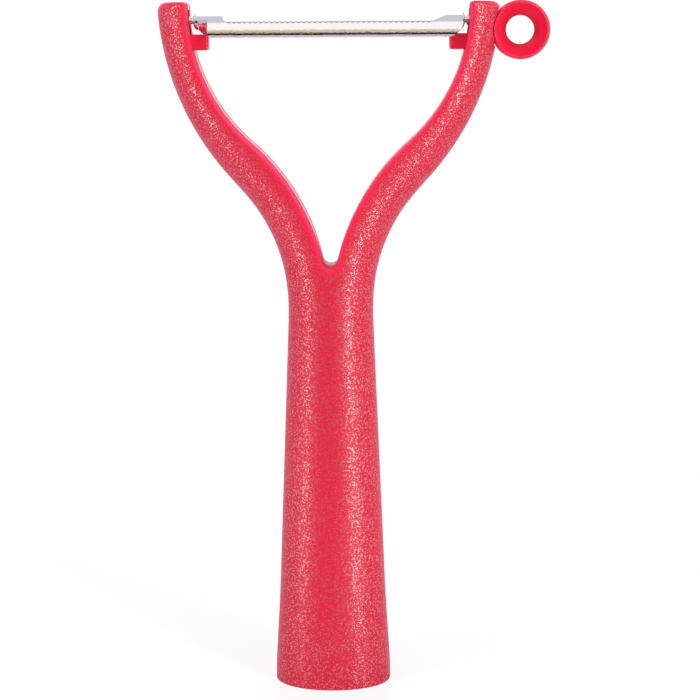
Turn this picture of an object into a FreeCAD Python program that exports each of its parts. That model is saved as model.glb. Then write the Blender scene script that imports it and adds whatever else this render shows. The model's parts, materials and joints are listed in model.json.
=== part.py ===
import FreeCAD, Part
import math
import os
import Sketcher

os.makedirs("parts", exist_ok=True)
doc = FreeCAD.newDocument("swivel_peeler")

# ---------------------------------------------------------------- driving sizes (mm)
# The frame: origin at the centre of the foot, +Z up the handle, -Y is the front.
driving = {
    # overall
    "total_length": 165.0,
    "foot_half_width": 14.2,
    "foot_half_depth": 9.5,
    "neck_half_width": 10.2,
    "neck_half_depth": 8.0,
    "tip_half_depth": 6.3,
    "blade_half_length": 31.1,
    # grip
    "foot_height": 4.0,
    "flare_height": 22.0,
    "flare_half_width": 13.1,
    # fork: two tangent arcs on each side of each arm
    "tip_side_gap": 1.9,
    "arm_tip_width": 7.05,
    "fork_root_half": 0.5,
    "fork_root_drop": 72.3,
    "fork_tip_drop": 1.0,
    "fork_bend_share": 0.44,
    "side_root_drop": 70.2,
    "side_tip_rise": 2.1,
    "side_bend_share": 0.613,
    "crotch_radius": 1.9,
    "tip_round": 2.2,
    "foot_round": 0.7,
    # shells
    "wall": 1.6,
    "fork_wall": 1.6,
    "floor_wall": 2.0,
    "cap_wall": 1.6,
    "fit_gap": 0.1,
    "post_radius": 2.0,
    "post_length": 3.0,
    "post_gap": 0.05,
    "socket_wall": 1.4,
    "low_post_height": 20.0,
    "mid_post_height": 52.0,
    "high_post_height": 84.0,
    # pivot, stop lug and bearing insert
    "pivot_drop": 4.3,
    "pin_radius": 0.9,
    "pin_gap": 0.05,
    "journal_length": 3.2,
    "journal_end_gap": 0.15,
    "bearing_depth": 3.65,
    "bearing_below": 7.6,
    "bearing_above": 2.5,
    "lug_drop": 7.35,
    "lug_height": 3.65,
    "lug_overlap": 3.1,
    "lug_half_depth": 2.0,
    "lug_round": 0.6,
    # eye remover ring
    "ring_bite": 2.5,
    "ring_drop": 6.6,
    "ring_radius": 6.97,
    "ring_rim_inset": 0.77,
    "ring_hole_radius": 3.32,
    "ring_half_depth": 2.5,
    "ring_throat": 1.6,
    "ring_scoop_inset": 0.37,
    "ring_neck_half_height": 3.0,
    "ring_neck_half_depth": 1.5,
    "ring_flange_half_height": 4.4,
    # blade
    "sheet": 0.75,
    "arch_half_depth": 5.0,
    "lip_tuck": 0.35,
    "lip_drop": 3.85,
    "waist_drop": 3.05,
    "crease_drop": 0.3,
    "crease_half_depth": 3.5,
    "ridge_rise": 1.1,
    "slot_half_depth": 3.0,
    "shoulder_length": 6.8,
    "slot_bevel": 0.7,
    "scallop_pitch": 1.25,
    "scallop_radius": 0.72,
    "scallop_cut": 0.22,
    "end_cut": 3.1,
    "tab_half_depth": 2.0,
    "big_corner": 3.7,
    "small_corner": 1.0,
    "flange_radius": 1.65,
    "flange_length": 0.55,
    "groove_radius": 0.7,
    "groove_length": 0.4,
    "collar_radius": 1.2,
    "collar_gap": 0.3,
}

sheet = doc.addObject("Spreadsheet::Sheet", "sizes")
for row, (alias, value) in enumerate(driving.items(), start=1):
    sheet.set("A%d" % row, alias)
    sheet.set("B%d" % row, str(value))
    sheet.setAlias("B%d" % row, alias)
doc.recompute()


class Size:
    """A length with its number and the spreadsheet expression that makes it."""

    def __init__(self, number, text):
        self.number = number
        self.text = text

    def join(self, other, sign, number):
        return Size(number, "(%s %s %s)" % (self.text, sign, other.text))

    def __add__(self, other):
        other = size(other)
        return self.join(other, "+", self.number + other.number)

    def __sub__(self, other):
        other = size(other)
        return self.join(other, "-", self.number - other.number)

    def __mul__(self, other):
        other = size(other)
        return self.join(other, "*", self.number * other.number)

    def __truediv__(self, other):
        other = size(other)
        return self.join(other, "/", self.number / other.number)

    def __radd__(self, other):
        return size(other) + self

    def __rsub__(self, other):
        return size(other) - self

    def __rmul__(self, other):
        return size(other) * self

    def __neg__(self):
        return size(0.0) - self


def size(value):
    if isinstance(value, Size):
        return value
    return Size(float(value), repr(float(value)))


def root(value):
    return Size(math.sqrt(value.number), "sqrt(%s)" % value.text)


def larger(one, other):
    return Size(max(one.number, other.number), "max(%s; %s)" % (one.text, other.text))


class Sizes:
    def __getattr__(self, alias):
        return Size(float(sheet.get(alias)), "sizes.%s" % alias)


s = Sizes()


def bind(item, name, value):
    value = size(value)
    item.setExpression(name, value.text)


def place(item, x=0.0, y=0.0, z=0.0):
    bind(item, "Placement.Base.x", x)
    bind(item, "Placement.Base.y", y)
    bind(item, "Placement.Base.z", z)
    return item


def turned(item, axis, angle):
    item.Placement = FreeCAD.Placement(FreeCAD.Vector(), FreeCAD.Rotation(axis, angle))
    return item


# ---------------------------------------------------------------- small builders
axisX = FreeCAD.Vector(1, 0, 0)
axisY = FreeCAD.Vector(0, 1, 0)


def box(name, low, high):
    """A box between two corners."""
    item = doc.addObject("Part::Box", name)
    for prop, a, b in zip(("Length", "Width", "Height"), low, high):
        bind(item, prop, size(b) - size(a))
    return place(item, *low)


def rod(name, radius, y0, y1, x, z):
    """A cylinder along Y between y0 and y1."""
    item = doc.addObject("Part::Cylinder", name)
    turned(item, axisX, -90)
    bind(item, "Radius", radius)
    bind(item, "Height", size(y1) - size(y0))
    return place(item, x, y0, z)


def cross(name, radius, x0, x1, z):
    """A cylinder along X between x0 and x1."""
    item = doc.addObject("Part::Cylinder", name)
    turned(item, axisY, 90)
    bind(item, "Radius", radius)
    bind(item, "Height", size(x1) - size(x0))
    return place(item, x0, 0.0, z)


def fuse(name, items):
    item = doc.addObject("Part::MultiFuse", name)
    item.Shapes = items
    return item


def common(name, items):
    item = doc.addObject("Part::MultiCommon", name)
    item.Shapes = items
    return item


def cut(name, base, tool):
    item = doc.addObject("Part::Cut", name)
    item.Base = base
    item.Tool = tool
    return item


def mirror(name, source):
    """The same shape on the other side of the plane x = 0."""
    item = doc.addObject("Part::Mirroring", name)
    item.Source = source
    item.Normal = axisX
    item.Base = FreeCAD.Vector(0, 0, 0)
    return item


def newBody(name):
    return doc.addObject("PartDesign::Body", name)


def originPlane(body, role):
    for item in body.Origin.OriginFeatures:
        if item.Role == role:
            return item
    raise RuntimeError("no origin feature " + role)


def sketchOn(body, role, name):
    sketch = body.newObject("Sketcher::SketchObject", name)
    sketch.AttachmentSupport = [(originPlane(body, role), "")]
    sketch.MapMode = "FlatFace"
    return sketch


def pin2(sketch, geo, point, x, y, tag):
    """Hold one sketch point at an exact place measured from the sketch origin."""
    sketch.addConstraint(Sketcher.Constraint("DistanceX", -1, 1, geo, point, size(x).number))
    sketch.renameConstraint(sketch.ConstraintCount - 1, "across" + tag)
    bind(sketch, "Constraints.across" + tag, x)
    sketch.addConstraint(Sketcher.Constraint("DistanceY", -1, 1, geo, point, size(y).number))
    sketch.renameConstraint(sketch.ConstraintCount - 1, "up" + tag)
    bind(sketch, "Constraints.up" + tag, y)


def outline(sketch, points, tag="", arcs=None):
    """A closed outline through bound points; arcs gives a side's radius and centre.

    With no radius, the arc's centre is held on the upright axis instead.
    """
    arcs = arcs or {}
    first = sketch.GeometryCount
    vectors = [FreeCAD.Vector(size(x).number, size(y).number, 0) for x, y in points]
    count = len(points)
    for i in range(count):
        start = vectors[i]
        end = vectors[(i + 1) % count]
        if i not in arcs:
            sketch.addGeometry(Part.LineSegment(start, end))
            continue
        radius, cx, cy = arcs[i]
        centre = FreeCAD.Vector(size(cx).number, size(cy).number, 0)
        ring = Part.Circle(centre, FreeCAD.Vector(0, 0, 1), start.distanceToPoint(centre))
        angles = [math.atan2(p.y - centre.y, p.x - centre.x) for p in (start, end)]
        sketch.addGeometry(Part.ArcOfCircle(ring, angles[0], angles[1]))
    for i in range(count):
        following = first + (i + 1) % count
        sketch.addConstraint(Sketcher.Constraint("Coincident", first + i, 2, following, 1))
    for i, (x, y) in enumerate(points):
        pin2(sketch, first + i, 1, x, y, "%s%d" % (tag, i))
    for i, (radius, cx, cy) in arcs.items():
        if radius is None:
            sketch.addConstraint(Sketcher.Constraint("PointOnObject", first + i, 3, -2))
            continue
        name = "bend%s%d" % (tag, i)
        sketch.addConstraint(Sketcher.Constraint("Radius", first + i, size(radius).number))
        sketch.renameConstraint(sketch.ConstraintCount - 1, name)
        bind(sketch, "Constraints." + name, radius)


def circle(sketch, radius, x, y, tag="hole"):
    centre = FreeCAD.Vector(size(x).number, size(y).number, 0)
    geo = sketch.addGeometry(Part.Circle(centre, FreeCAD.Vector(0, 0, 1), size(radius).number))
    sketch.addConstraint(Sketcher.Constraint("Radius", geo, size(radius).number))
    sketch.renameConstraint(sketch.ConstraintCount - 1, "radius" + tag)
    bind(sketch, "Constraints.radius" + tag, radius)
    pin2(sketch, geo, 3, x, y, tag)


def pad(body, sketch, length, name, midplane=True, reversed=False):
    item = body.newObject("PartDesign::Pad", name)
    item.Profile = sketch
    item.Midplane = midplane
    item.Reversed = reversed
    bind(item, "Length", length)
    return item


def pocket(body, sketch, name, length=None, midplane=False, reversed=False):
    item = body.newObject("PartDesign::Pocket", name)
    item.Profile = sketch
    item.Midplane = midplane
    item.Reversed = reversed
    if length is None:
        item.Type = "ThroughAll"
    else:
        bind(item, "Length", length)
    return item


# ---------------------------------------------------------------- heights and curves
top = s.total_length
pivotHeight = top - s.pivot_drop
ringHeight = top - s.ring_drop
armSide = s.blade_half_length + s.tip_side_gap + s.arm_tip_width
ringCentre = armSide + s.ring_radius - s.ring_bite
rimRadius = s.ring_radius - s.ring_rim_inset


class Bend:
    """An S of two tangent arcs that starts and ends upright."""

    def __init__(self, x0, z0, x1, z1, share):
        self.x0 = x0
        self.z0 = z0
        self.x1 = x1
        self.z1 = z1
        width = x1 - x0
        height = z1 - z0
        total = (width * width + height * height) / (2.0 * width)
        self.upper = total * share
        self.lower = total * (1.0 - share)
        self.turn = z0 + height * (1.0 - share)

    def across(self, z):
        if z.number <= self.z0.number:
            return self.x0
        if z.number < self.turn.number:
            rise = z - self.z0
            return self.x0 + self.lower - root(self.lower * self.lower - rise * rise)
        rise = z - self.z1
        return self.x1 - self.upper + root(self.upper * self.upper - rise * rise)


forkTip = s.blade_half_length + s.tip_side_gap
forkEdge = Bend(s.fork_root_half, top - s.fork_root_drop, forkTip, top - s.fork_tip_drop,
                s.fork_bend_share)
sideEdge = Bend(s.neck_half_width, top - s.side_root_drop, forkTip + s.arm_tip_width,
                top + s.side_tip_rise, s.side_bend_share)


def stationHeights():
    """Heights of the handle's cross-sections, foot first."""
    grip = [size(0.0), s.foot_height, (s.foot_height + s.flare_height) / 2.0, s.flare_height]
    start = forkEdge.z0
    for share in (0.33, 0.67, 0.9):
        grip.append(s.flare_height + (start - s.flare_height) * share)
    arm = [start + (top - start) * (i / 9.0) for i in range(10)]
    return grip + arm


def halfWidth(z):
    """Half the handle's width below the fork; the side edge above it."""
    if z.number <= s.foot_height.number:
        return s.foot_half_width
    if z.number < s.flare_height.number:
        return (s.foot_half_width + s.flare_half_width) / 2.0
    if z.number < forkEdge.z0.number:
        share = (z - s.flare_height) / (forkEdge.z0 - s.flare_height)
        return s.flare_half_width + (s.neck_half_width - s.flare_half_width) * share
    return sideEdge.across(z)


def halfDepth(z):
    if z.number <= s.foot_height.number:
        return s.foot_half_depth
    if z.number < forkEdge.z0.number:
        share = (z - s.foot_height) / (forkEdge.z0 - s.foot_height)
        return s.foot_half_depth + (s.neck_half_depth - s.foot_half_depth) * share
    share = (z - forkEdge.z0) / (top - forkEdge.z0)
    return s.neck_half_depth + (s.tip_half_depth - s.neck_half_depth) * share * share


# One D-shaped section, a half circle of radius 1 with a short straight skirt behind it.
sectionBody = newBody("unit_section")
unitSection = sketchOn(sectionBody, "XY_Plane", "unit_section_outline")
outline(unitSection, [(0.0, -1.0), (0.0, 1.0), (-0.3, 1.0), (-0.3, -1.0)], "unit",
        {0: (None, 0.0, 0.0)})


def handleLoft(name, inset):
    """A skin through half-elliptical sections whose flats follow the fork's inner edge."""
    sections = []
    for i, z in enumerate(stationHeights()):
        centre = forkEdge.across(z) - s.fork_root_half
        section = doc.addObject("Part::Scale", "%s_section_%d" % (name, i))
        section.Base = unitSection
        section.Uniform = False
        bind(section, "XScale", halfWidth(z) - centre - inset)
        bind(section, "YScale", halfDepth(z) - inset)
        place(section, centre, 0.0, z)
        sections.append(section)
    loft = doc.addObject("Part::Loft", name)
    loft.Sections = sections
    loft.Solid = True
    loft.MaxDegree = 5
    return loft


def forkCutter(name, offset):
    """The open fork: a round crotch and two S-shaped sides, offset into the arms."""
    body = newBody(name)
    sketch = sketchOn(body, "XZ_Plane", name + "_outline")
    crotch = s.crotch_radius + offset
    lower = forkEdge.lower - offset
    upper = forkEdge.upper + offset
    centreLow = FreeCAD.Vector((forkEdge.x0 + forkEdge.lower).number, forkEdge.z0.number, 0)
    centreTop = FreeCAD.Vector((forkEdge.x1 - forkEdge.upper).number, forkEdge.z1.number, 0)
    reach = lower.number + crotch.number
    centreCrotch = FreeCAD.Vector(0, centreLow.y + math.sqrt(reach ** 2 - centreLow.x ** 2), 0)
    up = FreeCAD.Vector(0, 0, 1)
    joinLow = math.atan2(centreLow.y - centreCrotch.y, centreLow.x)
    joinTop = math.atan2(centreLow.y - centreTop.y, centreLow.x - centreTop.x)
    above = top.number + 20.0
    arcs = [
        Part.ArcOfCircle(Part.Circle(centreCrotch, up, crotch.number), -math.pi / 2, joinLow),
        Part.ArcOfCircle(Part.Circle(centreLow, up, lower.number),
                         math.pi + joinTop, math.pi + joinLow),
        Part.ArcOfCircle(Part.Circle(centreTop, up, upper.number), joinTop, 0.0),
    ]
    tipX = centreTop.x + upper.number
    corners = [FreeCAD.Vector(tipX, centreTop.y, 0), FreeCAD.Vector(tipX, above, 0),
               FreeCAD.Vector(0, above, 0), FreeCAD.Vector(0, centreCrotch.y - crotch.number, 0)]
    for arc in arcs:
        sketch.addGeometry(arc)
    for i in range(3):
        sketch.addGeometry(Part.LineSegment(corners[i], corners[i + 1]))
    rules = [
        ("Radius", 0, crotch, "crotch"),
        ("Radius", 1, lower, "lower"),
        ("Radius", 2, upper, "upper"),
    ]
    for kind, geo, value, tag in rules:
        sketch.addConstraint(Sketcher.Constraint(kind, geo, value.number))
        sketch.renameConstraint(sketch.ConstraintCount - 1, tag)
        bind(sketch, "Constraints." + tag, value)
    pin2(sketch, 1, 3, forkEdge.x0 + forkEdge.lower, forkEdge.z0, "low")
    sketch.addConstraint(Sketcher.Constraint("DistanceY", -1, 1, 2, 3, forkEdge.z1.number))
    sketch.renameConstraint(sketch.ConstraintCount - 1, "tipheight")
    bind(sketch, "Constraints.tipheight", forkEdge.z1)
    sketch.addConstraint(Sketcher.Constraint("Tangent", 0, 2, 1, 2))
    sketch.addConstraint(Sketcher.Constraint("Tangent", 1, 1, 2, 1))
    sketch.addConstraint(Sketcher.Constraint("PointOnObject", 0, 3, -2))
    sketch.addConstraint(Sketcher.Constraint("PointOnObject", 0, 1, -2))
    sketch.addConstraint(Sketcher.Constraint("Tangent", 2, 2, 3, 1))
    sketch.addConstraint(Sketcher.Constraint("Vertical", 3))
    sketch.addConstraint(Sketcher.Constraint("Coincident", 3, 2, 4, 1))
    sketch.addConstraint(Sketcher.Constraint("Horizontal", 4))
    sketch.addConstraint(Sketcher.Constraint("Coincident", 4, 2, 5, 1))
    sketch.addConstraint(Sketcher.Constraint("Coincident", 5, 2, 0, 1))
    sketch.addConstraint(Sketcher.Constraint("Vertical", 5))
    sketch.addConstraint(Sketcher.Constraint("DistanceY", -1, 1, 4, 1, above))
    sketch.renameConstraint(sketch.ConstraintCount - 1, "above")
    bind(sketch, "Constraints.above", top + 20.0)
    half = pad(body, sketch, s.foot_half_depth * 4.0, name + "_half")
    both = body.newObject("PartDesign::Mirrored", name + "_both")
    both.Originals = [half]
    both.MirrorPlane = (originPlane(body, "YZ_Plane"), [""])
    body.Tip = both
    return body


# ---------------------------------------------------------------- the handle's solids
farX = ringCentre + s.ring_radius
farY = larger(s.foot_half_depth, s.neck_half_depth) * 2.0


def halfRoom(name, z0, z1):
    return box(name, (0.0, -farY, z0), (farX, farY, z1))


def wholeHandle(name, inset, forkOffset, z0, z1):
    """Both halves of the lofted handle with the fork opened out."""
    loft = handleLoft(name + "_skin", inset)
    half = common(name + "_half", [loft, halfRoom(name + "_room", z0, z1)])
    other = mirror(name + "_other_half", half)
    whole = fuse(name + "_whole", [half, other])
    return cut(name, whole, forkCutter(name + "_fork", forkOffset))


def edgesAt(shape, wanted):
    """Numbers of the edges that the test picks, counted from one."""
    return [i + 1 for i, edge in enumerate(shape.Edges) if wanted(edge)]


def rounded(name, base, choices):
    """Fillets on chosen edges; each choice is a test and a radius."""
    doc.recompute()
    item = doc.addObject("Part::Fillet", name)
    item.Base = base
    item.Edges = [(number, value.number, value.number)
                  for wanted, value in choices
                  for number in edgesAt(base.Shape, wanted)]
    return item


def level(edge, z):
    bounds = edge.BoundBox
    return abs(bounds.ZMin - z) < 1e-4 and abs(bounds.ZMax - z) < 1e-4


handleSharp = wholeHandle("handle", 0.0, size(0.0), size(0.0), top)
handleSolid = rounded("handle_rounded", handleSharp, [
    (lambda e: level(e, top.number) and e.BoundBox.XLength > 1.0, s.tip_round),
    (lambda e: level(e, 0.0), s.foot_round),
])
cavity = wholeHandle("cavity", s.wall, s.fork_wall, s.floor_wall, top - s.cap_wall)
insertRoom = wholeHandle("insert_room", s.wall + s.fit_gap, s.fork_wall + s.fit_gap,
                         s.floor_wall + s.fit_gap, top - s.cap_wall - s.fit_gap)

# ---------------------------------------------------------------- openings in the shells
faceAtPivot = forkEdge.across(pivotHeight)
lugTop = top - s.lug_drop
lugBottom = lugTop - s.lug_height
lugTip = s.blade_half_length - s.lug_overlap
noseTop = pivotHeight + s.bearing_above
bearingOut = faceAtPivot + s.bearing_depth
bearingBottom = pivotHeight - s.bearing_below

window = box("window_right", (lugTip, -s.lug_half_depth - s.fit_gap, lugBottom - s.fit_gap),
             (bearingOut, s.lug_half_depth + s.fit_gap, noseTop + s.fit_gap))
windowLeft = mirror("window_left", window)
scoop = rod("ring_scoop", s.ring_radius - s.ring_scoop_inset, -farY, farY, ringCentre, ringHeight)
seat = rod("ring_seat", s.ring_radius + s.fit_gap, -s.ring_half_depth - s.fit_gap,
           s.ring_half_depth + s.fit_gap, ringCentre, ringHeight)
neckSlot = box("ring_neck_slot",
               (bearingOut, -s.ring_neck_half_depth - s.fit_gap,
                ringHeight - s.ring_neck_half_height - s.fit_gap),
               (ringCentre, s.ring_neck_half_depth + s.fit_gap,
                ringHeight + s.ring_neck_half_height + s.fit_gap))
openings = fuse("openings", [cavity, window, windowLeft, scoop, seat, neckSlot])
shellPair = cut("shell_pair", handleSolid, openings)

# ---------------------------------------------------------------- the two shells
postHeights = [s.low_post_height, s.mid_post_height, s.high_post_height]
frontRoom = box("front_room", (-farX, -farY, -1.0), (farX, 0.0, top + 1.0))
rearRoom = box("rear_room", (-farX, 0.0, -1.0), (farX, farY, top + 1.0))
frontSkin = common("front_skin", [shellPair, frontRoom])
rearSkin = common("rear_skin", [shellPair, rearRoom])

posts = fuse("posts", [rod("post_%d" % i, s.post_radius, -farY, s.post_length, 0.0, z)
                       for i, z in enumerate(postHeights)])
postsInside = common("posts_inside", [posts, handleSolid])
frontShell = fuse("front_shell", [frontSkin, postsInside])

socketRadius = s.post_radius + s.post_gap + s.socket_wall
sockets = fuse("sockets", [rod("socket_%d" % i, socketRadius, 0.0, farY, 0.0, z)
                           for i, z in enumerate(postHeights)])
socketsInside = common("sockets_inside", [sockets, handleSolid])
rearBlank = fuse("rear_blank", [rearSkin, socketsInside])
socketBores = fuse("socket_bores", [rod("socket_bore_%d" % i, s.post_radius + s.post_gap,
                                        -1.0, s.post_length + s.fit_gap, 0.0, z)
                                    for i, z in enumerate(postHeights)])
rearShell = cut("rear_shell", rearBlank, socketBores)

# ---------------------------------------------------------------- pivot bearings with stop lugs
coreRoom = box("bearing_core_room", (0.0, -farY, bearingBottom), (bearingOut, farY, top))
core = common("bearing_core", [insertRoom, coreRoom])
noseRoom = box("bearing_nose_room", (lugTip, -s.lug_half_depth, lugBottom),
               (bearingOut, s.lug_half_depth, noseTop))
nose = common("bearing_nose", [handleSolid, noseRoom])
lugBlock = box("lug_block", (lugTip, -s.lug_half_depth, lugBottom),
               (bearingOut - s.bearing_depth / 2.0, s.lug_half_depth, lugTop))
lug = rounded("lug", lugBlock, [
    (lambda e: abs(e.BoundBox.XMax - lugTip.number) < 1e-4, s.lug_round)])
bearingBlank = fuse("bearing_blank", [core, nose, lug])
boreLength = s.journal_length + s.journal_end_gap
bore = cross("bearing_bore", s.pin_radius + s.pin_gap, lugTip, faceAtPivot + boreLength,
             pivotHeight)
rightBearing = cut("right_pivot_bearing", bearingBlank, bore)
leftBearing = mirror("left_pivot_bearing", rightBearing)

# ---------------------------------------------------------------- eye remover ring
puck = newBody("ring_puck")
puckSketch = sketchOn(puck, "XY_Plane", "ring_profile")
shoulder = s.ring_half_depth / 2.0
outline(puckSketch, [
    (s.ring_hole_radius, s.ring_half_depth - s.ring_throat),
    (s.ring_hole_radius, s.ring_half_depth),
    (rimRadius, s.ring_half_depth),
    (s.ring_radius, shoulder),
    (s.ring_radius, -shoulder),
    (rimRadius + 0.15, -s.ring_half_depth),
    (rimRadius - 0.15, -s.ring_half_depth),
])
turn = puck.newObject("PartDesign::Revolution", "ring_turn")
turn.Profile = puckSketch
turn.ReferenceAxis = (puckSketch, ["V_Axis"])
turn.Angle = 360
puck.Tip = turn
place(puck, ringCentre, 0.0, ringHeight)

ringNeck = box("ring_neck",
               (bearingOut + s.fit_gap, -s.ring_neck_half_depth,
                ringHeight - s.ring_neck_half_height),
               (ringCentre - (s.ring_hole_radius + rimRadius) / 2.0,
                s.ring_neck_half_depth, ringHeight + s.ring_neck_half_height))
flangeRoom = box("ring_flange_room",
                 (bearingOut + s.fit_gap, -farY, ringHeight - s.ring_flange_half_height),
                 (farX, farY, ringHeight + s.ring_flange_half_height))
ringFlange = common("ring_flange", [insertRoom, flangeRoom])
eyeRing = fuse("eye_remover_ring", [puck, ringNeck, ringFlange])

# ---------------------------------------------------------------- blade
lipHeight = pivotHeight - s.lip_drop
waistHeight = pivotHeight - s.waist_drop
creaseHeight = pivotHeight - s.crease_drop
ridgeHeight = pivotHeight + s.ridge_rise
slopeRise = (s.ridge_rise + s.crease_drop) / s.crease_half_depth
bulge = s.sheet * 0.75

blade = newBody("peeler_blade")
arch = sketchOn(blade, "YZ_Plane", "arch_section")
outerSide = [
    (s.arch_half_depth - s.lip_tuck, lipHeight),
    (s.arch_half_depth, waistHeight),
    (s.arch_half_depth - s.lip_tuck, (waistHeight + creaseHeight) / 2.0 + bulge / 2.0),
    (s.crease_half_depth, creaseHeight),
    (size(0.0), ridgeHeight),
]
innerSide = [
    (size(0.0), ridgeHeight - s.sheet),
    (s.crease_half_depth - s.sheet * 0.7, creaseHeight - s.sheet * 0.85),
    (s.arch_half_depth - s.lip_tuck - s.sheet, (waistHeight + creaseHeight) / 2.0),
    (s.arch_half_depth - s.sheet, waistHeight),
    (s.arch_half_depth - s.lip_tuck - s.sheet, lipHeight + s.sheet * 0.15),
]
archPoints = outerSide + [(-y, z) for y, z in reversed(outerSide[:-1])]
archPoints += [(-y, z) for y, z in reversed(innerSide[1:])] + innerSide
outline(arch, archPoints)
archPad = pad(blade, arch, s.blade_half_length * 2.0, "arch")

earSketch = sketchOn(blade, "YZ_Plane", "ear_outline")
earTop = ridgeHeight - s.sheet / 2.0 - slopeRise * s.tab_half_depth
earFoot = pivotHeight - s.tab_half_depth
outline(earSketch, [
    (-s.tab_half_depth, earTop),
    (-s.tab_half_depth, pivotHeight - s.tab_half_depth / 2.0),
    (-s.tab_half_depth / 2.0, earFoot),
    (s.tab_half_depth / 2.0, earFoot),
    (s.tab_half_depth, pivotHeight - s.tab_half_depth / 2.0),
    (s.tab_half_depth, earTop),
    (size(0.0), ridgeHeight - s.sheet / 2.0),
])
bind(earSketch, "AttachmentOffset.Base.z", s.blade_half_length - s.sheet)
ear = pad(blade, earSketch, s.sheet, "ear", midplane=False)
ears = blade.newObject("PartDesign::Mirrored", "ears")
ears.Originals = [ear]
ears.MirrorPlane = (originPlane(blade, "YZ_Plane"), [""])
blade.Tip = ears

slotSketch = sketchOn(blade, "YZ_Plane", "slot_section")
edgeHeight = ridgeHeight - slopeRise * s.slot_half_depth
under = s.slot_half_depth - s.slot_bevel
outline(slotSketch, [
    (-s.slot_half_depth, edgeHeight),
    (-s.slot_half_depth, ridgeHeight + 1.0),
    (s.slot_half_depth, ridgeHeight + 1.0),
    (s.slot_half_depth, edgeHeight),
    (under, edgeHeight - s.sheet),
    (-under, edgeHeight - s.sheet),
])
slotHalf = s.blade_half_length - s.shoulder_length
slotCut = pocket(blade, slotSketch, "slot", slotHalf * 2.0, midplane=True)

# Row of scallops along the front cutting edge.
count = int(2.0 * slotHalf.number / s.scallop_pitch.number)
firstScallop = -(s.scallop_pitch * (count - 1)) / 2.0
scallopSketch = sketchOn(blade, "XZ_Plane", "scallop_outline")
circle(scallopSketch, s.scallop_radius, firstScallop,
       edgeHeight + s.scallop_radius - s.scallop_cut, "scallop")
scallop = pocket(blade, scallopSketch, "scallop", s.arch_half_depth, reversed=True)
scallops = blade.newObject("PartDesign::LinearPattern", "scallops")
scallops.Originals = [scallop]
scallops.Direction = (scallopSketch, ["H_Axis"])
bind(scallops, "Length", s.scallop_pitch * (count - 1))
scallops.Occurrences = count
blade.Tip = scallops

# Cuts through the front skirt at both ends, then the same cuts half a turn round.
endSketch = sketchOn(blade, "XZ_Plane", "end_cut_outline")
bind(endSketch, "AttachmentOffset.Base.z", s.tab_half_depth)
endX = s.blade_half_length - s.end_cut
past = s.blade_half_length + 1.0
outline(endSketch, [
    (-past, lipHeight - 1.0),
    (-past, ridgeHeight + 1.0),
    (-endX, ridgeHeight + 1.0),
    (-endX, lipHeight + s.small_corner),
    (-endX + s.small_corner, lipHeight),
    (-endX + s.small_corner, lipHeight - 1.0),
], "left", {3: (s.small_corner, -endX + s.small_corner, lipHeight + s.small_corner)})
cornerX = s.blade_half_length - s.big_corner
outline(endSketch, [
    (cornerX, lipHeight),
    (s.blade_half_length, lipHeight + s.big_corner),
    (past, lipHeight + s.big_corner),
    (past, lipHeight - 1.0),
    (cornerX, lipHeight - 1.0),
], "right", {0: (s.big_corner, cornerX, lipHeight + s.big_corner)})
sideCut = pocket(blade, endSketch, "end_cuts", s.arch_half_depth * 2.0, reversed=True)
endCuts = blade.newObject("PartDesign::PolarPattern", "end_cuts_both")
endCuts.Originals = [sideCut]
endCuts.Axis = (originPlane(blade, "Z_Axis"), [""])
endCuts.Angle = 360
endCuts.Occurrences = 2
blade.Tip = endCuts

holeSketch = sketchOn(blade, "YZ_Plane", "pin_hole_outline")
bind(holeSketch, "AttachmentOffset.Base.z", s.blade_half_length - s.sheet)
circle(holeSketch, s.pin_radius, 0.0, pivotHeight)
pinHole = pocket(blade, holeSketch, "pin_hole", s.sheet * 2.0, reversed=True)
pinHoles = blade.newObject("PartDesign::Mirrored", "pin_holes")
pinHoles.Originals = [pinHole]
pinHoles.MirrorPlane = (originPlane(blade, "YZ_Plane"), [""])
blade.Tip = pinHoles

# ---------------------------------------------------------------- pivot pins
pinBody = newBody("right_pivot_pin")
pinSketch = sketchOn(pinBody, "XY_Plane", "pin_profile")
earFace = s.blade_half_length
flangeEnd = earFace + s.flange_length
grooveEnd = flangeEnd + s.groove_length
collarEnd = faceAtPivot - s.collar_gap
pinEnd = faceAtPivot + s.journal_length
outline(pinSketch, [
    (earFace - s.sheet, size(0.0)),
    (earFace - s.sheet, s.pin_radius),
    (earFace, s.pin_radius),
    (earFace, s.flange_radius),
    (earFace + s.flange_length * 0.4, s.flange_radius),
    (flangeEnd, s.groove_radius),
    (grooveEnd, s.groove_radius),
    (grooveEnd, s.collar_radius),
    (collarEnd, s.collar_radius),
    (collarEnd, s.pin_radius),
    (pinEnd - s.pin_radius * 0.3, s.pin_radius),
    (pinEnd, s.pin_radius * 0.7),
    (pinEnd, size(0.0)),
])
pinTurn = pinBody.newObject("PartDesign::Revolution", "pin_turn")
pinTurn.Profile = pinSketch
pinTurn.ReferenceAxis = (pinSketch, ["H_Axis"])
pinTurn.Angle = 360
pinBody.Tip = pinTurn
place(pinBody, 0.0, 0.0, pivotHeight)
leftPin = mirror("left_pivot_pin", pinBody)

# ---------------------------------------------------------------- check and write
doc.recompute()
pieces = [frontShell, rearShell, leftBearing, rightBearing, eyeRing, blade, leftPin, pinBody]
problems = []
for item in doc.Objects:
    if "Invalid" in item.State or "Error" in item.State:
        problems.append("%s is %s" % (item.Label, item.State))
for piece in pieces:
    if piece.Shape.isNull() or not piece.Shape.isValid():
        problems.append(piece.Label + " has no valid shape")
    elif len(piece.Shape.Solids) != 1:
        problems.append("%s has %d solids" % (piece.Label, len(piece.Shape.Solids)))
if problems:
    raise RuntimeError("; ".join(problems))
for piece in pieces:
    piece.Shape.exportStep(os.path.join("parts", piece.Label + ".step"))
    print(piece.Label, round(piece.Shape.Volume, 1))
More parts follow.
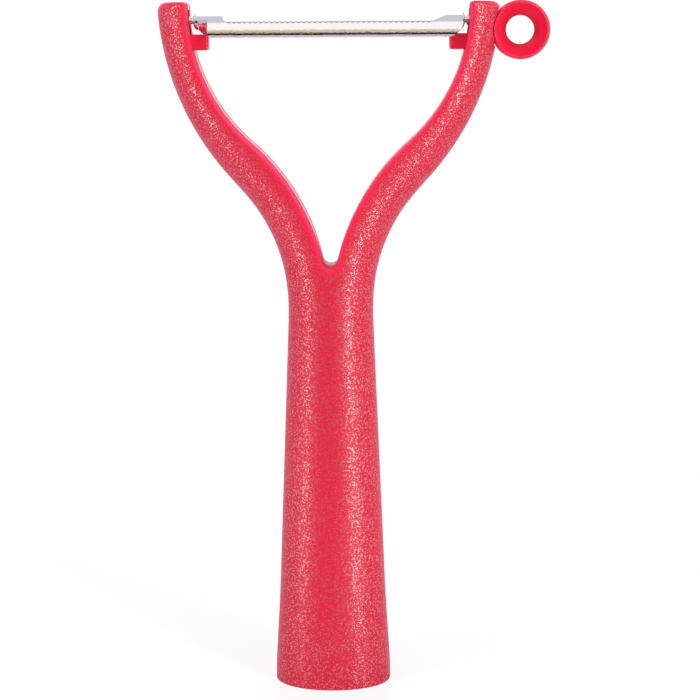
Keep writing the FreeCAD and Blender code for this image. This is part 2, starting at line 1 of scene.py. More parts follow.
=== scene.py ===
import bpy
import bmesh
import json
import math
import numpy as np
from mathutils import Matrix, Vector


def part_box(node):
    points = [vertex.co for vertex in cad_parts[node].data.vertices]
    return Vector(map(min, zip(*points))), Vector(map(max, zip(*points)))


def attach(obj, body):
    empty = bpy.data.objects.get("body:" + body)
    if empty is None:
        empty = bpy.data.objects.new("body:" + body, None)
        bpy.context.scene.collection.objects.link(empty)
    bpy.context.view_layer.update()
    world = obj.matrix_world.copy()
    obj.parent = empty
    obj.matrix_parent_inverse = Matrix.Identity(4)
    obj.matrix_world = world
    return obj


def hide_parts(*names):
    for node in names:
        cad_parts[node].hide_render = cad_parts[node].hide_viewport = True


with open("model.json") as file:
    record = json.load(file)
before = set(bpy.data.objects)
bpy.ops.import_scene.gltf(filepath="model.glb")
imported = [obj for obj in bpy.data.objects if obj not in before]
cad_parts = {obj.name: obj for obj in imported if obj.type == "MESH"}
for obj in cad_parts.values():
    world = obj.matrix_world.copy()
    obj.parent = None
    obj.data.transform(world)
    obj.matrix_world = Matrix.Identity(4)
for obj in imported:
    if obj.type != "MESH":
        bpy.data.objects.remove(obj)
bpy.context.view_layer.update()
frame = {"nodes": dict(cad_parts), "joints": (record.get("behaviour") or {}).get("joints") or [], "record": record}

mm = 0.001


class Sheets:
    # collects grids of points (rows x columns x 3, in mm) and makes one mesh of them

    def __init__(self):
        self.points = []
        self.faces = []
        self.marks = []
        self.total = 0

    def add(self, grid, mark=0.0, keep=None, flip=False):
        # every cell of the grid becomes a quad; keep is an optional mask of cells
        grid = np.asarray(grid, dtype=float)
        rows, cols = grid.shape[:2]
        index = self.total + np.arange(rows * cols).reshape(rows, cols)
        quads = np.stack([index[:-1, :-1], index[:-1, 1:], index[1:, 1:], index[1:, :-1]], axis=-1)
        if keep is not None:
            quads = quads[keep]
        quads = quads.reshape(-1, 4)
        if flip:
            quads = quads[:, ::-1]
        self.points.append(grid.reshape(-1, 3))
        self.faces.append(quads)
        marks = np.broadcast_to(np.asarray(mark, dtype=float), (rows, cols)).reshape(-1)
        self.marks.append(marks)
        self.total += rows * cols

    def build(self, name, sharp=40.0, weld=0.002, outward=True):
        # grids that share an edge become one surface, since points nearer than weld are joined
        mesh = bpy.data.meshes.new(name)
        points = np.concatenate(self.points) * mm
        faces = np.concatenate(self.faces)
        mesh.from_pydata(points.tolist(), [], faces.tolist())
        texture = mesh.attributes.new("texture", "FLOAT", "POINT")
        texture.data.foreach_set("value", np.concatenate(self.marks).astype(np.float32))
        work = bmesh.new()
        work.from_mesh(mesh)
        bmesh.ops.remove_doubles(work, verts=work.verts, dist=weld * mm)
        bmesh.ops.dissolve_degenerate(work, edges=work.edges, dist=weld * mm * 0.5)
        if outward:
            bmesh.ops.recalc_face_normals(work, faces=work.faces)
        openEdges = sum(1 for edge in work.edges if not edge.is_manifold)
        work.to_mesh(mesh)
        work.free()
        mesh.polygons.foreach_set("use_smooth", np.ones(len(mesh.polygons), dtype=bool))
        mesh.set_sharp_from_angle(angle=math.radians(sharp))
        mesh.update()
        item = bpy.data.objects.new(name, mesh)
        bpy.context.scene.collection.objects.link(item)
        print("made", name, len(mesh.polygons), "faces", openEdges, "open edges")
        return item


def mirrorX(grid):
    # x times minus one: the other arm
    return np.asarray(grid) * np.array([-1.0, 1.0, 1.0])


def mirrorY(grid):
    # y times minus one: the rear for the front
    return np.asarray(grid) * np.array([1.0, -1.0, 1.0])


class Wire:
    # wraps a socket so that shader maths reads as ordinary sums

    def __init__(self, finish, socket):
        self.finish = finish
        self.socket = socket

    def maths(self, operation, *values):
        # one sum of sockets and plain numbers
        return self.finish.node("ShaderNodeMath", {"operation": operation},
                                dict(enumerate(values)))[0]

    def __add__(self, other):
        return self.maths("ADD", self, other)

    def __sub__(self, other):
        return self.maths("SUBTRACT", self, other)

    def __rsub__(self, other):
        return self.maths("SUBTRACT", other, self)

    def __mul__(self, other):
        return self.maths("MULTIPLY", self, other)

    def clamp(self):
        # held between 0 and 1
        return self.finish.node("ShaderNodeClamp", {}, {"Value": self})[0]

    def above(self, edge, width):
        # 0 below the edge, 1 above it, with a soft step of that width
        return ((self - (edge - width / 2.0)) * (1.0 / width)).clamp()


class Finish:
    # the nodes of a material or of the world, and the one method that adds them

    def __init__(self, owner):
        self.owner = owner
        owner.use_nodes = True
        self.tree = owner.node_tree
        self.tree.nodes.clear()

    def node(self, kind, settings, values):
        # adds a node of that kind, sets it, joins or fills its sockets and gives its outputs
        node = self.tree.nodes.new(kind)
        for key, value in settings.items():
            setattr(node, key, value)
        for key, value in values.items():
            socket = node.inputs[key]
            if isinstance(value, Wire):
                self.tree.links.new(value.socket, socket)
            else:
                socket.default_value = value
        return [Wire(self, out) for out in node.outputs]

    def place(self):
        # the point on the piece, in metres
        return self.node("ShaderNodeTexCoord", {}, {})[3]

    def mark(self, name):
        # a value from 0 to 1 that the mesh carries at its points
        return self.node("ShaderNodeAttribute", {"attribute_name": name}, {})[2]

    def stretch(self, vector, scale):
        # each axis times its own scale
        return self.node("ShaderNodeVectorMath", {"operation": "MULTIPLY"},
                         {0: vector, 1: scale})[0]

    def noise(self, vector, scale, detail, roughness=0.5):
        # soft noise from 0 to 1, about a half on average
        return self.node("ShaderNodeTexNoise", {}, {
            "Vector": vector, "Scale": scale, "Detail": detail, "Roughness": roughness})[0]

    def blend(self, amount, first, second):
        # colour mix: amount 0 gives the first colour, 1 the second
        return self.node("ShaderNodeMix", {"data_type": "RGBA"},
                         {0: amount, 6: first, 7: second})[2]

    def bump(self, height, distance):
        # the normal of a relief whose full height is the distance, in metres
        return self.node("ShaderNodeBump", {}, {"Height": height, "Distance": distance})[0]

    def surface(self, values):
        # the material's one shader
        self.show(self.node("ShaderNodeBsdfPrincipled", {}, values)[0])
        return self.owner

    def show(self, shader):
        self.node("ShaderNodeOutputMaterial", {}, {"Surface": shader})


def rgb(red, green, blue):
    return (red, green, blue, 1.0)


texturedLook = {
    "red": rgb(0.665, 0.009, 0.038),
    "deep": rgb(0.27, 0.012, 0.030),
    "speck": rgb(0.86, 0.50, 0.46),
    # painted highlight: the pale pink of the parting line on the fork's walls
    "seam": rgb(0.98, 0.74, 0.79),
    "perMetre": 2700.0,        # spark-eroded grain, under half a millimetre across
    "depth": 0.00011,
    "fineTimes": 2.3,          # how much finer the second grain is
    "finePart": 0.15,
    "roughness": 0.18,         # of the smooth plastic, to which the grain and the seam add
    "grainRoughness": 0.14,
    "fineRoughness": 0.06,
    "seamRoughness": 0.4,
    "speckLevel": 0.575,       # relief above which a speck stands out
    "speckStep": 0.03,
    "speckDeep": 0.52,
    "speckPale": 0.03,
    "speckRoughness": 0.34,
    "speckIor": 2.8,           # specks are glassier than the plastic round them
    "tonePerMetre": 60.0,
    "tone": 0.08,
    "specular": 0.30,
    "sheen": 0.55,
    "sheenRoughness": 0.40,
    "sheenTint": rgb(1.0, 0.12, 0.38),
}


def texturedPlastic():
    # relief is two noises together, and its highest parts are the specks;
    # the grain's mark says where the mould was eroded, and the other mark paints a pale highlight along the
    # parting line, and where it is negative it makes the walls rougher instead
    look = texturedLook
    finish = Finish(bpy.data.materials.new("texturedPlastic"))
    place = finish.place()
    grain = finish.noise(place, look["perMetre"], 1.5, 0.55)
    fine = finish.noise(place, look["perMetre"] * look["fineTimes"], 1.0)
    tone = finish.noise(place, look["tonePerMetre"], 3.0, 0.55)
    mask = finish.mark("texture")
    seamHighlight = finish.mark("seamHighlight")
    relief = grain * (1.0 - look["finePart"]) + fine * look["finePart"]
    specks = relief.above(look["speckLevel"], look["speckStep"]) * mask
    deep = (specks * look["speckDeep"] + tone * look["tone"]).clamp()
    colour = finish.blend(deep, look["red"], look["deep"])
    colour = finish.blend(specks * look["speckPale"], colour, look["speck"])
    colour = finish.blend(mask, smoothLook["red"], colour)
    # painted highlight along the parting line on the fork's walls
    colour = finish.blend(seamHighlight.clamp(), colour, look["seam"])
    matte = (0.0 - seamHighlight).clamp()
    roughness = mask * look["grainRoughness"] + fine * look["fineRoughness"]
    return finish.surface({
        "Base Color": colour,
        "Roughness": roughness + matte * look["seamRoughness"] + look["roughness"],
        "Specular IOR Level": look["specular"],
        "Coat Weight": specks,
        "Coat Roughness": look["speckRoughness"],
        "Coat IOR": look["speckIor"],
        "Sheen Weight": look["sheen"],
        "Sheen Roughness": look["sheenRoughness"],
        "Sheen Tint": look["sheenTint"],
        "Normal": finish.bump(relief * mask, look["depth"])})


smoothLook = {
    "red": rgb(0.86, 0.012, 0.062),
    "flow": rgb(0.70, 0.006, 0.020),           # slow streaks in the moulding
    # painted shade: the deeper red inside the ring's hole
    "hole": rgb(0.50, 0.006, 0.012),
    "flowPerMetre": 90.0,
    "flowPart": 0.35,
    "hazePerMetre": 400.0,
    "hazeRoughness": 0.10,
    "roughness": 0.15,
    "depth": 0.000008,
    "sheen": 0.70,
    "sheenRoughness": 0.30,
    "sheenTint": rgb(1.0, 0.55, 0.85),
}


def smoothPlastic():
    # a slow noise for the colour, a faster one for haze and the faint orange peel; where the mesh's mark is set,
    # painted shade: a deeper red at the ring's hole
    look = smoothLook
    finish = Finish(bpy.data.materials.new("smoothPlastic"))
    place = finish.place()
    haze = finish.noise(place, look["hazePerMetre"], 3.0)
    flow = finish.noise(place, look["flowPerMetre"], 2.0)
    colour = finish.blend(flow * look["flowPart"], look["red"], look["flow"])
    # painted shade at the ring's hole, by the mesh's mark
    colour = finish.blend(finish.mark("texture"), colour, look["hole"])
    return finish.surface({
        "Base Color": colour,
        "Roughness": haze * look["hazeRoughness"] + look["roughness"],
        "Sheen Weight": look["sheen"],
        "Sheen Roughness": look["sheenRoughness"],
        "Sheen Tint": look["sheenTint"],
        "Normal": finish.bump(haze, look["depth"])})


steelLook = {
    "bright": rgb(0.95, 0.94, 0.94),
    "worn": rgb(0.84, 0.82, 0.80),
    # painted shade: dark grey along the scallops' ground rim
    "rim": rgb(0.22, 0.20, 0.21),              # the ground edge of the scallops
    "grainPerMetre": (1500.0, 3000.0, 3000.0),
    "spotsPerMetre": 900.0,
    "spotsPart": 0.3,
    "roughness": (0.07, 0.07),                 # at its least, and what the grain adds
    "depth": 0.000030,
    "pinBright": rgb(0.78, 0.77, 0.76),
    "pinWorn": rgb(0.55, 0.54, 0.53),
    "turningPerMetre": (6000.0, 300.0, 300.0),
    "turningPart": 0.4,
    "turningRoughness": (0.14, 0.12),
    "turningDepth": 0.000005,
}


def polishedSteel():
    # a grain twice as long along the blade as across it, and paler and duller spots; painted shade, a dark grey,
    # along the scallops' ground rim
    look = steelLook
    finish = Finish(bpy.data.materials.new("polishedSteel"))
    place = finish.place()
    grain = finish.noise(finish.stretch(place, look["grainPerMetre"]), 1.0, 2.0, 0.6)
    spots = finish.noise(place, look["spotsPerMetre"], 2.0, 0.6)
    colour = finish.blend(spots * look["spotsPart"], look["bright"], look["worn"])
    # painted shade along the scallops' ground rim, by the mesh's mark
    colour = finish.blend(finish.mark("texture"), colour, look["rim"])
    least, added = look["roughness"]
    return finish.surface({
        "Base Color": colour,
        "Metallic": 1.0,
        "Roughness": grain * added + least,
        "Normal": finish.bump(grain, look["depth"])})


def pinSteel():
    # noise packed tightly along the pin, as the rings that turning leaves
    look = steelLook
    finish = Finish(bpy.data.materials.new("pinSteel"))
    turning = finish.noise(finish.stretch(finish.place(), look["turningPerMetre"]), 1.0, 2.0)
    least, added = look["turningRoughness"]
    return finish.surface({
        "Base Color": finish.blend(turning * look["turningPart"], look["pinBright"],
                                   look["pinWorn"]),
        "Metallic": 1.0,
        "Roughness": turning * added + least,
        "Normal": finish.bump(turning, look["turningDepth"])})


texturedRed = texturedPlastic()
smoothRed = smoothPlastic()
steel = polishedSteel()
pinMetal = pinSteel()
print("finishes made")


# places taken from the frame, in mm
def corners(node):
    # the low and the high corner of a node's box
    low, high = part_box(node)
    return np.array(low) / mm, np.array(high) / mm


lugLow, lugHigh = corners("right_pivot_bearing")
topHeight = corners("front_shell")[1][2]
bladeEnd = corners("peeler_blade")[1][0]
pivotHeight = frame["joints"][0]["pos_m"][2] / mm
ringMount = [mount for mount in frame["record"]["mounts"] if mount["name"] == "ring_hole"][0]
ringX = ringMount["pos_m"][0] / mm
ringZ = ringMount["pos_m"][2] / mm
print("top", topHeight, "pivot", pivotHeight, "ring", ringX, ringZ)


# the handle's two shells
handleForm = {
    "heights": [-10.0, 4.0, 22.0, 92.7, 94.8],     # where the grip's half width is given
    "halfWidths": [14.1, 14.1, 12.98, 10.06, 10.06],
    "footHalfDepth": 9.5,
    "neckHalfDepth": 8.0,
    "tipHalfDepth": 6.3,
    "neckHeight": 92.7,
    "easing": 3.0,             # half the length over which changes of slope are eased
    "fork": (0.5, 92.7, 32.75, 164.0, 0.44),
    "side": (10.15, 94.1, 40.02, 167.1, 0.613),
    "crotchRadius": 1.9,
    "footRound": 0.7,
    "tipRound": 2.2,           # over the outer edge of each arm's tip
    "tipFaceRound": 0.8,       # over its face's edge
    "tipWallRound": 0.9,       # over its inner edge
    "edgeRound": 0.35,         # between the fork's walls and the faces
    "wall": 1.6,
    "floor": 2.0,
    "seam": 0.22,              # half the groove where the two shells meet
    "draft": 0.10,             # how far each wall of the fork opens from the seam to the face
    "proud": 0.15,             # how far the rear shell's walls stand into the fork
    "seamDrop": 0.7,           # how deep the seam's groove is, as a share of its half width
    "innerEdge": 0.2,
    "sharp": 38.0,             # edges sharper than this many degrees stay crisp
    "grainStart": 0.5,         # how far from the fork's walls the grain starts
    "grainFade": 1.0,
    "grainTopFade": 0.8,
    "grainSide": 3.0,          # how far back from the seam the sides are grained too
    # painted highlight: the pale line at the seam, and how far it reaches
    "seamLight": 0.35,         # how far the pale line reaches from the seam
    "seamFade": (0.25, 0.2),   # how far round the walls' edge it holds, then fades
    "bodyRows": 84,
    "armRows": 84,
    "columns": 30,
}


class Bend:
    # an S of two tangent arcs, upright at both ends; both radii together are
    # (width squared + height squared) / (2 width), and share is the upper one's part

    def __init__(self, x0, z0, x1, z1, share):
        self.x0, self.z0, self.x1, self.z1 = x0, z0, x1, z1
        total = ((x1 - x0) ** 2 + (z1 - z0) ** 2) / (2.0 * (x1 - x0))
        self.upper = total * share
        self.lower = total - self.upper
        self.turn = z0 + (z1 - z0) * (1.0 - share)

    def across(self, z):
        # left or right edge at height z: a circle about each arc's centre
        rise = np.clip(z - self.z0, 0.0, self.turn - self.z0)
        fall = np.clip(self.z1 - z, 0.0, self.z1 - self.turn)
        low = self.x0 + self.lower - np.sqrt(self.lower ** 2 - rise ** 2)
        high = self.x1 - self.upper + np.sqrt(self.upper ** 2 - fall ** 2)
        return np.where(z < self.turn, low, high)

    def inward(self, x, z):
        # unit vector across the curve, from the opening into the arm
        low = np.stack([self.x0 + self.lower - x, self.z0 - z], -1) / self.lower
        high = np.stack([x - self.x1 + self.upper, np.minimum(z, self.z1) - self.z1], -1)
        return np.where((z < self.turn)[..., None], low, high / self.upper)


fork = Bend(*handleForm["fork"])
side = Bend(*handleForm["side"])
easingSteps = np.linspace(-1.0, 1.0, 9) * handleForm["easing"]


def halfWidth(z):
    # straight tapers below the fork and the side curve above, eased by a running mean
    near = z[..., None] + easingSteps
    grip = np.interp(near, handleForm["heights"], handleForm["halfWidths"])
    return np.where(near < side.z0, grip, side.across(near)).mean(-1)


def halfDepth(z):
    # a straight taper up to the neck, then a parabola to the tip
    form = handleForm
    near = z[..., None] + easingSteps
    grip = np.interp(near, [4.0, form["neckHeight"]],
                     [form["footHalfDepth"], form["neckHalfDepth"]])
    share = np.clip((near - form["neckHeight"]) / (topHeight - form["neckHeight"]), 0.0, 1.2)
    arm = form["neckHalfDepth"] + (form["tipHalfDepth"] - form["neckHalfDepth"]) * share ** 2
    return np.where(near < form["neckHeight"], grip, arm).mean(-1)


def crotchTop():
    # the height at which the crotch's round meets the fork's lower arc: both circles' centres
    # are one radius sum apart
    reach = fork.lower + handleForm["crotchRadius"]
    return fork.z0 + math.sqrt(reach ** 2 - (fork.x0 + fork.lower) ** 2)


def centreAcross(z):
    # the arm's centre line leaves the middle as the fork's edge does
    return fork.across(z) - fork.x0


def faceDepth(x, z, inset=0.0):
    # half an ellipse about the section's centre: depth = b sqrt(1 - ((x - centre) / a) squared)
    a = halfWidth(z) - centreAcross(z) - inset
    b = halfDepth(z) - inset
    share = np.clip((x - centreAcross(z)) / a, 0.0, 1.0)
    return b * np.sqrt(1.0 - share ** 2)


def rounding(z, radius):
    # how far a rounded upper edge of that radius has drawn in at height z
    rise = np.clip(z - (topHeight - radius), 0.0, radius)
    return radius - np.sqrt(radius ** 2 - rise ** 2)


def closing(ring, seam, sink):
    # rows that carry a ring's depth down to the meeting plane, with the seam's groove
    rows = [ring]
    depth = np.abs(ring[:, 1])
    for share in (0.75, 0.5, 0.25, 0.0):
        row = ring.copy()
        row[:, 1] = -np.maximum(np.minimum(depth, seam), depth * share)
        rows.append(row)
    last = ring.copy()
    last[:, 1] = 0.0
    last[:, 2] += sink
    rows.append(last)
    return np.array(rows)


def quarterSkin(inner, toRear):
    # the front right quarter of a shell's outer or inner skin, as grids that share their rows:
    # the face, the fork's wall with its rounded edge, the foot and the tip
    form = handleForm
    inset = form["wall"] if inner else 0.0
    seam = 0.0 if inner else form["seam"]
    edge = form["innerEdge"] if inner else form["edgeRound"]
    groove = seam * form["seamDrop"]
    low = form["floor"] if inner else 0.0
    high = topHeight - (form["wall"] if inner else 0.0)
    draft = 0.0 if inner else form["draft"]
    proud = form["proud"] if toRear and not inner else 0.0

    # the path up the fork: round the crotch, then up the two arcs, then over the tip
    crotchZ = crotchTop()
    join = math.atan2(fork.x0 + fork.lower, crotchZ - fork.z0)
    swing = np.linspace(0.0, join, 12)
    crotchNormal = np.stack([np.sin(swing), -np.cos(swing)], -1)
    crotch = np.array([0.0, crotchZ]) + form["crotchRadius"] * crotchNormal
    armZ = np.linspace(crotch[-1, 1], topHeight - form["tipRound"], form["armRows"])[1:]
    over = np.linspace(0.0, math.pi / 2.0, 13)[1:]
    tipZ = topHeight - form["tipRound"] * (1.0 - np.sin(over))
    armZ = np.concatenate([armZ, tipZ])
    armX = fork.across(armZ)
    path = np.concatenate([crotch, np.stack([armX, armZ], -1)])
    normal = np.concatenate([crotchNormal, fork.inward(armX, armZ)])
    drawn = 0.0 if inner else rounding(path[:, 1], form["tipWallRound"])
    wallLine = path + normal * (inset + drawn - proud + np.zeros(len(path)))[:, None]
    wallLine[:, 1] = np.clip(wallLine[:, 1], low, high)
    start = wallLine + normal * (edge + draft + proud)
    start[:, 1] = np.clip(start[:, 1], low, high)

    # the face: rows across from the centre line, or from the wall's rounded edge
    footTurn = np.linspace(0.0, math.pi / 2.0, 8)[:-1]
    footZ = form["footRound"] * (1.0 - np.cos(footTurn))
    footIn = form["footRound"] * (1.0 - np.sin(footTurn))
    if inner:
        footZ, footIn = footZ * 0.0 + low, footIn * 0.0
    bodyZ = np.linspace(low if inner else form["footRound"], start[0, 1], form["bodyRows"])[:-1]
    z = np.concatenate([footZ, bodyZ, start[:, 1]])
    begin = np.concatenate([footZ * 0.0, bodyZ * 0.0, start[:, 0]])
    tight = np.zeros(len(z)) if inner else rounding(z, form["tipRound"])
    shallow = np.zeros(len(z)) if inner else rounding(z, form["tipFaceRound"])
    tight[:len(footIn)] += footIn
    shallow[:len(footIn)] += footIn
    centre = centreAcross(z)
    a = halfWidth(z) - centre - inset - tight
    b = halfDepth(z) - inset - shallow
    end = centre + a * np.sqrt(1.0 - (seam / b) ** 2)
    sweep = np.sin(np.linspace(0.0, math.pi / 2.0, form["columns"]))
    x = begin[:, None] + (end - begin)[:, None] * sweep
    share = np.clip((x - centre[:, None]) / a[:, None], 0.0, 1.0)
    y = -b[:, None] * np.sqrt(1.0 - share ** 2)
    y[:, -1] = -seam
    face = np.stack([x, y, np.broadcast_to(z[:, None], x.shape)], -1)
    last = face[:, -1:].copy()
    last[..., 0] -= groove
    last[..., 1] = 0.0
    face = np.concatenate([face, last], 1)

    # the wall: from the meeting plane out to the rounded edge, then round it
    rows = len(wallLine)
    edgeDepth = -face[-rows:, 0, 1] - edge
    plain = np.linspace(0.0, 1.0, 10)
    depth = seam + (edgeDepth[:, None] - seam) * plain
    turn = np.linspace(0.0, math.pi / 2.0, 7)[1:]
    opened = draft + proud
    along = np.concatenate([[groove], plain * opened, opened + edge * (1.0 - np.cos(turn))])
    rounded = edgeDepth[:, None] + edge * np.sin(turn)
    depth = np.concatenate([np.zeros((rows, 1)), depth, rounded], 1)
    flat = wallLine[:, None] + normal[:, None] * along[None, :, None]
    flat[..., 1] = np.clip(flat[..., 1], low, high)
    wall = np.stack([flat[..., 0], -depth, flat[..., 1]], -1)
    wall[:, -1] = face[-rows:, 0]

    # the tip: rows from the meeting plane out to the face's last row, one for each of the wall's
    share = wall[-1, :, 1] / wall[-1, -1, 1]
    tip = np.broadcast_to(face[-1], (len(share),) + face[-1].shape).copy()
    tip[..., 1] *= share[:, None]
    tip[:, 0] = wall[-1]
    for rim in (wall[:, 0], face[:, -1], tip[0]):
        rim[:, 2] = np.minimum(rim[:, 2], high - groove)
    tip[:, -1] = face[-1, -1]
    foot = closing(face[0], seam, groove)
    return face, wall, foot, tip


def meetingEdge(skin):
    # the skin's whole edge in the meeting plane, from the foot's centre round to the crotch
    face, wall, foot, tip = skin
    return np.concatenate([foot[-1], foot[::-1, -1], face[:, -1], tip[0, ::-1], wall[::-1, 0]])


def shell(name, toRear):
    # outer and inner skins of both quarters, and the rim between them in the meeting plane
    sheets = Sheets()
    outer = quarterSkin(False, toRear)
    inner = quarterSkin(True, toRear)
    rim = np.stack([meetingEdge(outer), meetingEdge(inner)])
    for grid in (*outer, *inner, rim):
        placed = mirrorY(grid) if toRear else grid
        sheets.add(placed)
        sheets.add(mirrorX(placed))
    return sheets.build(name, handleForm["sharp"], 0.004)


def settle(item, sharp):
    # the piece as its modifiers leave it, as a plain mesh
    graph = bpy.context.evaluated_depsgraph_get()
    mesh = bpy.data.meshes.new_from_object(item.evaluated_get(graph))
    item.modifiers.clear()
    item.data = mesh
    mesh.set_sharp_from_angle(angle=math.radians(sharp))
    print("settled", item.name, len(mesh.polygons), "faces")


def combine(item, others, operation, sharp):
    # cuts the others' shapes out of a piece, or joins them to it
    for other in others:
        step = item.modifiers.new("combine", "BOOLEAN")
        step.operation = operation
        step.solver = "EXACT"
        step.object = other
    settle(item, sharp)


def placesOf(mesh):
    # x, y and z of every point, in mm
    points = np.zeros(len(mesh.vertices) * 3)
    mesh.vertices.foreach_get("co", points)
    return (points.reshape(-1, 3) / mm).T


def writeMark(mesh, name, values):
    # one value at each point, for the finishes to read
    if name not in mesh.attributes:
        mesh.attributes.new(name, "FLOAT", "POINT")
    mesh.attributes[name].data.foreach_set("value", values.astype(np.float32))


def dress(item, finish, body):
    # gives a piece its finish, the body that it rides with and its material slot
    item.data.materials.clear()
    item.data.materials.append(finish)
    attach(item, body)


def blockGrid(low, high):
    # a box's six faces as three bands of points
    x0, y0, z0 = low
    x1, y1, z1 = high
    ring = np.array([[x0, y0], [x1, y0], [x1, y1], [x0, y1], [x0, y0]])
    lower = np.concatenate([ring, np.full((5, 1), z0)], 1)
    upper = np.concatenate([ring, np.full((5, 1), z1)], 1)
    return np.stack([lower, upper]), lower[[[0, 1], [3, 2]]], upper[[[0, 1], [3, 2]]]


def lathe(profile, x, z, steps=96):
    # a profile of (radius, y) turned about an axis along Y through (x, z)
    angle = np.linspace(0.0, 2.0 * math.pi, steps + 1)
    profile = np.asarray(profile, dtype=float)
    radius, depth = profile[:, :1], profile[:, 1:]
    across, up = x + radius * np.cos(angle), z + radius * np.sin(angle)
    return np.stack([across, depth + 0.0 * angle, up], -1)


def cutterBox(name, low, high):
    # a closed box between two corners
    sheets = Sheets()
    for grid in blockGrid(low, high):
        sheets.add(grid)
    return sheets.build(name)


openingForm = {
    "fit": 0.1,               # clearance round the bearing and the ring
    "windowHalfDepth": 2.1,
    "scoopRadius": 6.6,
    "seatRadius": 7.07,
    "seatHalfDepth": 2.6,
    "neckHalfDepth": 1.6,
    "neckHalfHeight": 3.1,
    "lugHeight": 3.65,
    "lugTop": 7.35,           # below the tip
    "reach": 20.0,            # well past both faces
}


def scoopCutter():
    # the ring's scoop with its wider seat in the middle, turned as one
    form = openingForm
    narrow, wide = form["scoopRadius"], form["seatRadius"]
    seat, reach = form["seatHalfDepth"], form["reach"]
    sheets = Sheets()
    profile = [(0.0, -reach), (narrow, -reach), (narrow, -seat), (wide, -seat), (wide, seat),
               (narrow, seat), (narrow, reach), (0.0, reach)]
    sheets.add(lathe(profile, ringX, ringZ, 128))
    return sheets.build("scoop")


def openingCutters():
    # a window for each bearing, the ring's scoop and the slot for its neck
    form = openingForm
    low = topHeight - form["lugTop"] - form["lugHeight"] - form["fit"]
    half = form["windowHalfDepth"]
    right = cutterBox("windowRight", (lugLow[0], -half, low), (lugHigh[0], half, lugHigh[2]))
    left = cutterBox("windowLeft", (-lugHigh[0], -half, low), (-lugLow[0], half, lugHigh[2]))
    neck = cutterBox("neckSlot",
                     (lugHigh[0], -form["neckHalfDepth"], ringZ - form["neckHalfHeight"]),
                     (ringX, form["neckHalfDepth"], ringZ + form["neckHalfHeight"]))
    return [right, left, scoopCutter(), neck]


def markTexture(item):
    # the grain lies on the moulded faces: 1 where a point is on the outer skin,
    # fading over the last millimetre before the fork's edge and over the tips
    form = handleForm
    x, y, z = placesOf(item.data)
    rear = y > -0.01
    x, y = np.abs(x), np.abs(y)
    onFace = np.abs(y - faceDepth(x, z)) < 0.12
    crotchZ = crotchTop()
    fromWall = np.where(z > crotchZ, x - fork.across(z),
                        np.hypot(x, z - crotchZ) - form["crotchRadius"])
    fade = np.clip((fromWall - form["grainStart"]) / form["grainFade"], 0.0, 1.0)
    fadeUp = np.clip((topHeight - z) / form["grainTopFade"], 0.0, 1.0)
    outside = (np.abs(x - halfWidth(z)) < 0.3) & (y < form["grainSide"])
    writeMark(item.data, "texture", np.where(onFace | outside, fade, 0.0) * fadeUp)
    # painted highlight: the parting line on the fork's walls is painted paler where the rear shell's edge shows;
    # elsewhere on the walls the mark is negative and makes them rougher
    held, faded = form["seamFade"]
    onWall = np.clip(1.0 - (fromWall - held) / faded, 0.0, 1.0)
    light = np.clip(1.35 - y / form["seamLight"], 0.0, 1.0)
    writeMark(item.data, "seamHighlight", onWall * np.where(rear, light, -1.0))


frontShell = shell("frontShell", False)
rearShell = shell("rearShell", True)
cutters = openingCutters()
for item in (frontShell, rearShell):
    combine(item, cutters, "DIFFERENCE", handleForm["sharp"])
    markTexture(item)
    dress(item, texturedRed, "handle")
for cutter in cutters:
    bpy.data.objects.remove(cutter)
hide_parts("front_shell")
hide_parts("rear_shell")
print("shells made")


# the eye remover ring
ringForm = {
    "radius": 6.80,
    "rimRadius": 6.2,
    "holeRadius": 3.32,
    "halfDepth": 2.5,
    "throat": 2.1,             # from the rear face to the funnel's foot
    "rearFlare": (0.3, 0.5),   # how far the hole opens to the rear, across and deep
    "rimRound": 0.16,
    "shoulderRound": 0.7,
    "rearRound": 0.5,
    "hollow": 0.20,            # how far the funnel's wall bows inward
    "neckHalfDepth": 1.5,
    "neckHalfHeight": 3.0,
    # painted shade: how far the deeper red reaches from the hole
    "holeShadeReach": 1.6,           # how far from the hole the deeper red reaches
    "sharp": 50.0,
}


def arc(cx, cy, radius, first, last, steps):
    # a round stretch of an outline, angles in degrees
    angle = np.radians(np.linspace(first, last, steps))
    return np.stack([cx + radius * np.cos(angle), cy + radius * np.sin(angle)], -1)


def ringProfile():
    # from the throat's front edge, down the funnel's reverse: throat, rear face, rounded rear
    # edge, barrel, rounded front shoulder, narrow rim, then the bowed funnel back to the throat
    form = ringForm
    back, front = form["halfDepth"], -form["halfDepth"]
    hole, outer, rim = form["holeRadius"], form["radius"], form["rimRadius"]
    wide, deep = form["rearFlare"]
    throat = np.array([[hole, back - deep], [hole + 0.02, back - deep + 0.06],
                       [hole + wide, back]])
    bend, shoulder = form["rearRound"], form["shoulderRound"]
    rear = arc(outer - bend, back - bend, bend, 90.0, 0.0, 8)
    barrel = arc(outer - shoulder, front + shoulder + 0.12, shoulder, 0.0, -70.0, 12)
    lip = arc(rim, front + form["rimRound"], form["rimRound"], -38.0, -150.0, 8)
    top = lip[-1]
    foot = np.array([hole + 0.08, back - form["throat"]])
    share = np.linspace(0.0, 1.0, 16)[1:, None]
    bow = 4.0 * share * (1.0 - share) * form["hollow"]
    funnel = top + (foot - top) * share + bow * np.array([0.78, 0.62])
    edge = np.array([[hole, back - form["throat"] + 0.1]])
    return np.concatenate([throat, rear, barrel, lip, funnel, edge, throat[:1]])


def paintHoleShade(mesh):
    # painted shade: 1 at the hole, fading over the funnel's foot, where the red is painted deeper as shade
    x, y, z = placesOf(mesh)
    away = np.hypot(x - ringX, z - ringZ) - ringForm["holeRadius"]
    writeMark(mesh, "texture", np.clip(1.0 - away / ringForm["holeShadeReach"], 0.0, 1.0))


